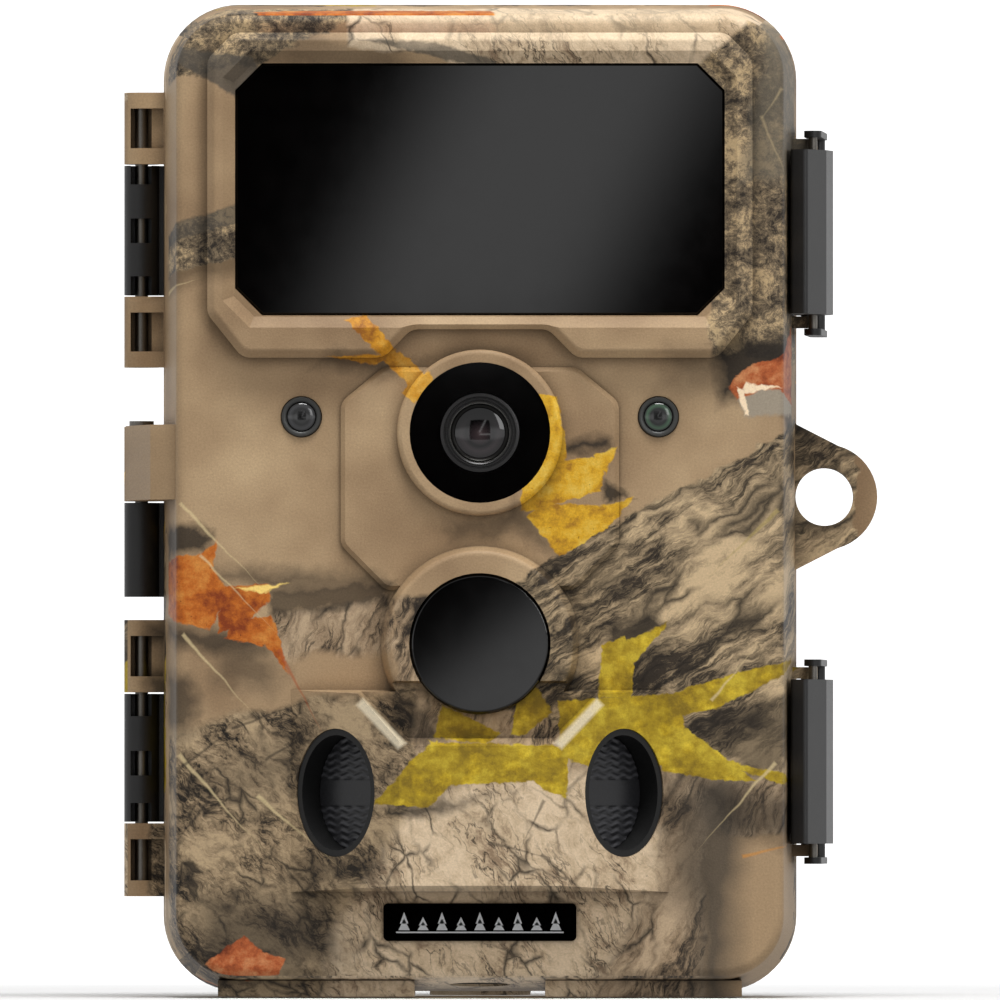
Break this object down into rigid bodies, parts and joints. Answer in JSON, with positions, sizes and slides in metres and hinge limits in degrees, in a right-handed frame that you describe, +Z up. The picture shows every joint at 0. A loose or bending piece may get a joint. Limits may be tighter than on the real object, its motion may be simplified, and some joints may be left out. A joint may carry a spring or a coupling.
{
  "type": "trail camera",
  "caption": "Camouflage trail camera in a hinged two-part case, with infrared window, lens, three motion sensors, draw latches, padlock eye and tripod thread.",
  "frame": {"origin": "centre of the tripod thread's mouth, in the bottom of the rear half", "axes": "+Z up, the lens faces -Y, and the hinges are on the -X side"},
  "size_m": [0.1041, 0.077, 0.137],
  "materials": {
    "camo_plastic": "matte, printed with a woodland pattern",
    "black_plastic": "fine matte texture",
    "gloss_black": "polished, passes infrared",
    "smoked_lens": "ridged and translucent",
    "lens_glass": "coated glass",
    "clear_window": "clear plastic",
    "steel": "bright zinc",
    "brass": "turned",
    "seal_rubber": "soft matte",
    "circuit_board": "green solder mask",
    "electronics_black": "moulded",
    "lamp_clear": "clear epoxy",
    "cell_jacket": "printed foil jacket"
  },
  "bodies": {
    "rear_half": {"rear_housing": "camo_plastic", "hinge_bracket_upper": "black_plastic", "hinge_bracket_middle": "black_plastic", "hinge_bracket_lower": "black_plastic", "hinge_pin_upper": "steel", "hinge_pin_middle": "steel", "hinge_pin_lower": "steel", "tripod_insert": "brass", "rim_seal": "seal_rubber", "battery_tray": "black_plastic", "tray_screws": "steel", "aa_cells": "cell_jacket", "battery_contacts": "steel", "battery_springs": "steel"},
    "front_half": {"front_cover": "camo_plastic", "infrared_window": "gloss_black", "led_board": "circuit_board", "infrared_lamps": "lamp_clear", "lens_bezel": "gloss_black", "lens_barrel": "black_plastic", "lens_glass": "lens_glass", "image_sensor": "circuit_board", "sensor_window": "gloss_black", "motion_sensor": "electronics_black", "side_tube_left": "black_plastic", "side_tube_right": "black_plastic", "side_lens_left": "smoked_lens", "side_lens_right": "smoked_lens", "spot_window_left": "gloss_black", "spot_window_right": "gloss_black", "badge_plate": "gloss_black", "inner_panel": "black_plastic", "display_window": "clear_window", "display_module": "electronics_black", "main_board": "circuit_board", "card_socket": "steel", "board_chips": "electronics_black", "usb_port": "steel", "speaker": "electronics_black", "panel_screws": "steel", "power_jack": "electronics_black", "lever_pin_upper": "steel", "lever_pin_lower": "steel"},
    "upper_lever": {"latch_lever_upper": "black_plastic", "link_pin_upper": "steel"},
    "lower_lever": {"latch_lever_lower": "black_plastic", "link_pin_lower": "steel"},
    "upper_link": {"latch_link_upper": "black_plastic"},
    "lower_link": {"latch_link_lower": "black_plastic"},
    "key_menu": {"key_menu": "seal_rubber"},
    "key_down": {"key_down": "seal_rubber"},
    "key_up": {"key_up": "seal_rubber"},
    "key_ok": {"key_ok": "seal_rubber"},
    "mode_switch": {"mode_switch": "black_plastic"},
    "memory_card": {"memory_card": "electronics_black"},
    "power_plug": {"power_plug": "seal_rubber"}
  },
  "joints": [
    {"name": "front_half_hinge", "type": "hinge", "parent": "rear_half", "child": "front_half", "pos_m": [-0.0468, -0.011, 0.0685], "axis": [0, 0, -1], "range_deg": [0, 170]},
    {"name": "upper_lever_pivot", "type": "hinge", "parent": "front_half", "child": "upper_lever", "pos_m": [0.0451, -0.017, 0.1052], "axis": [0, 0, 1], "range_deg": [0, 120]},
    {"name": "upper_link_pivot", "type": "hinge", "parent": "upper_lever", "child": "upper_link", "pos_m": [0.0459, -0.0222, 0.1052], "axis": [0, 0, 1], "range_deg": [-140, 0]},
    {"name": "lower_lever_pivot", "type": "hinge", "parent": "front_half", "child": "lower_lever", "pos_m": [0.0451, -0.017, 0.0323], "axis": [0, 0, 1], "range_deg": [0, 120]},
    {"name": "lower_link_pivot", "type": "hinge", "parent": "lower_lever", "child": "lower_link", "pos_m": [0.0459, -0.0222, 0.0323], "axis": [0, 0, 1], "range_deg": [-140, 0]},
    {"name": "key_menu_press", "type": "slide", "parent": "front_half", "child": "key_menu", "axis": [0, -1, 0], "range_m": [0, 0.0005], "stiffness_N_per_m": 400},
    {"name": "key_down_press", "type": "slide", "parent": "front_half", "child": "key_down", "axis": [0, -1, 0], "range_m": [0, 0.0005], "stiffness_N_per_m": 400},
    {"name": "key_up_press", "type": "slide", "parent": "front_half", "child": "key_up", "axis": [0, -1, 0], "range_m": [0, 0.0005], "stiffness_N_per_m": 400},
    {"name": "key_ok_press", "type": "slide", "parent": "front_half", "child": "key_ok", "axis": [0, -1, 0], "range_m": [0, 0.0005], "stiffness_N_per_m": 400},
    {"name": "mode_slide", "type": "slide", "parent": "front_half", "child": "mode_switch", "axis": [1, 0, 0], "range_m": [-0.003, 0.003]},
    {"name": "card_eject", "type": "slide", "parent": "front_half", "child": "memory_card", "axis": [0, 1, 0], "range_m": [0, 0.0022]},
    {"name": "power_plug_pull", "type": "slide", "parent": "front_half", "child": "power_plug", "axis": [0, 0, -1], "range_m": [0, 0.012]}
  ],
  "couplings": [
    {"joint": "upper_link_pivot", "follows": "upper_lever_pivot", "ratio": -1.15},
    {"joint": "lower_link_pivot", "follows": "lower_lever_pivot", "ratio": -1.15}
  ]
}
